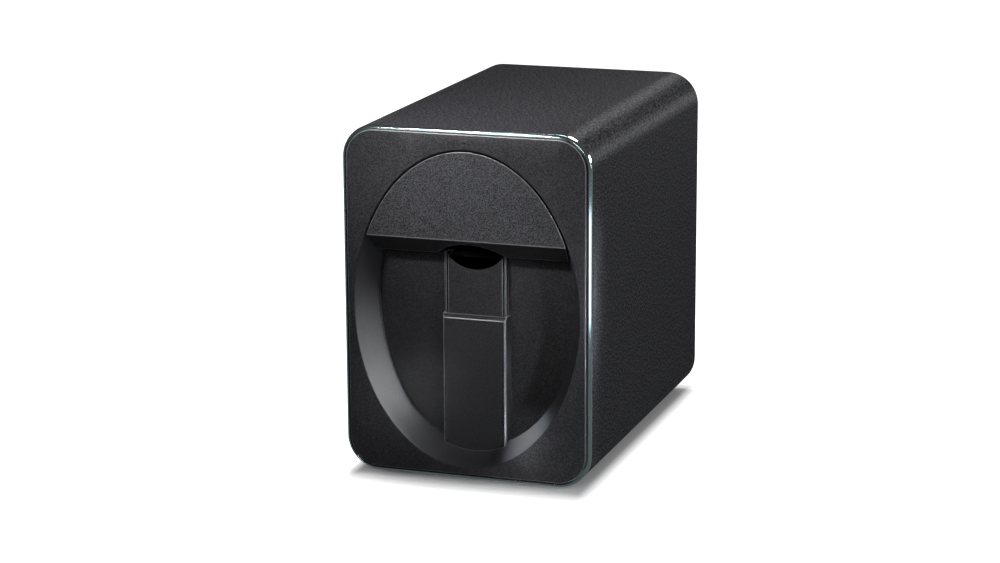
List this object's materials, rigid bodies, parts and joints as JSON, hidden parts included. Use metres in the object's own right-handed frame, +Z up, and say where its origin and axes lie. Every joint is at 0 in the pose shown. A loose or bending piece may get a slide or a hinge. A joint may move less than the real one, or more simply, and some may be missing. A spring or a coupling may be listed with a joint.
{
  "type": "nail art printer",
  "caption": "Sleeve-shaped desktop nail printer with an elliptical finger dish, sprung finger rest, pull-off front cover and two-axis inkjet engine.",
  "frame": {"origin": "middle of the footprint, on the table under the feet", "axes": "+Z up, +X to the right seen from the front, the finger dish faces -Y"},
  "size_m": [0.132, 0.2054, 0.1836],
  "materials": {
    "sleeve_coat": "fine textured powder coat, matte black",
    "panel_plastic": "fine spark-eroded texture, charcoal black",
    "trim_metal": "polished, diamond cut",
    "dark_plastic": "plain moulded black",
    "engine_plastic": "moulded, glass filled grey",
    "sheet_metal": "zinc coated sheet",
    "rod_steel": "ground and bright",
    "fastener_steel": "zinc coated",
    "bearing_brass": "sintered",
    "soft_rubber": "matte",
    "belt_rubber": "moulded",
    "circuit_board": "solder mask",
    "motor_case": "satin black",
    "light_pipe": "clear white",
    "cartridge_case": "moulded"
  },
  "bodies": {
    "case": {"outer_sleeve": "sleeve_coat", "front_trim_ring": "trim_metal", "front_fascia": "panel_plastic", "front_bulkhead": "panel_plastic", "finger_guide": "panel_plastic", "status_lens": "light_pipe", "status_board": "circuit_board", "body_magnets": "rod_steel", "rear_panel": "panel_plastic", "power_switch": "dark_plastic", "dc_inlet": "dark_plastic", "usb_socket": "rod_steel", "main_board": "circuit_board", "board_standoffs": "fastener_steel", "board_screws": "fastener_steel", "base_plate": "sheet_metal", "rubber_feet": "soft_rubber", "side_plate_left": "sheet_metal", "side_plate_right": "sheet_metal", "fascia_screws": "fastener_steel", "rear_screws": "fastener_steel", "rear_bracket": "sheet_metal", "long_rods": "rod_steel", "long_motor": "motor_case", "rest_deck": "sheet_metal", "rest_posts": "rod_steel", "rest_spring": "rod_steel", "camera_bar": "sheet_metal", "camera_module": "dark_plastic", "light_board": "circuit_board"},
    "cover": {"front_cover": "panel_plastic", "cover_magnets": "rod_steel"},
    "rest": {"finger_rest": "panel_plastic", "finger_pad": "soft_rubber"},
    "button": {"power_button": "dark_plastic"},
    "gantry": {"gantry_left": "engine_plastic", "gantry_right": "engine_plastic", "gantry_plate": "sheet_metal", "gantry_bushings": "bearing_brass", "cross_rods": "rod_steel", "cross_motor": "motor_case", "drive_belt": "belt_rubber", "idler_axle": "rod_steel", "screw_nut": "bearing_brass", "cap_tray": "engine_plastic", "cap_seal": "soft_rubber"},
    "carriage": {"print_carriage": "engine_plastic", "carriage_bushings": "bearing_brass", "belt_clamp": "engine_plastic", "ink_cartridge": "cartridge_case"},
    "latch": {"cartridge_latch": "dark_plastic"},
    "drive_pulley": {"drive_pulley": "trim_metal"},
    "idler_pulley": {"idler_pulley": "trim_metal"},
    "screw": {"lead_screw": "rod_steel"}
  },
  "joints": [
    {"name": "cover_pull", "type": "slide", "parent": "case", "child": "cover", "axis": [0, -1, 0], "range_m": [0, 0.045]},
    {"name": "rest_press", "type": "slide", "parent": "case", "child": "rest", "axis": [0, 0, -1], "range_m": [0, 0.01], "stiffness_N_per_m": 120, "springref_m": -0.006, "deforming": ["rest_spring"]},
    {"name": "button_press", "type": "slide", "parent": "case", "child": "button", "axis": [0, -1, 0], "range_m": [0, 0.001], "stiffness_N_per_m": 300, "springref_m": -0.001},
    {"name": "gantry_travel", "type": "slide", "parent": "case", "child": "gantry", "axis": [0, 1, 0], "range_m": [0, 0.026]},
    {"name": "screw_turn", "type": "hinge", "parent": "case", "child": "screw", "pos_m": [0, 0.02115, 0.1368], "axis": [0, 1, 0], "range_deg": [-1175, 5]},
    {"name": "carriage_travel", "type": "slide", "parent": "gantry", "child": "carriage", "axis": [-1, 0, 0], "range_m": [0, 0.054]},
    {"name": "drive_pulley_turn", "type": "hinge", "parent": "gantry", "child": "drive_pulley", "pos_m": [-0.042, -0.00485, 0.1588], "axis": [0, 1, 0], "range_deg": [-5, 665]},
    {"name": "idler_pulley_turn", "type": "hinge", "parent": "gantry", "child": "idler_pulley", "pos_m": [0.042, -0.00485, 0.1588], "axis": [0, 1, 0], "range_deg": [-5, 665]},
    {"name": "latch_swing", "type": "hinge", "parent": "carriage", "child": "latch", "pos_m": [0.027, -0.06885, 0.1364], "axis": [1, 0, 0], "range_deg": [0, 30], "stiffness_Nm_per_rad": 0.02, "springref_deg": -11.46}
  ],
  "couplings": [
    {"joint": "screw_turn", "follows": "gantry_travel", "rad_per_m": -785.4},
    {"joint": "drive_pulley_turn", "follows": "carriage_travel", "rad_per_m": 212.77},
    {"joint": "idler_pulley_turn", "follows": "carriage_travel", "rad_per_m": 212.77}
  ]
}
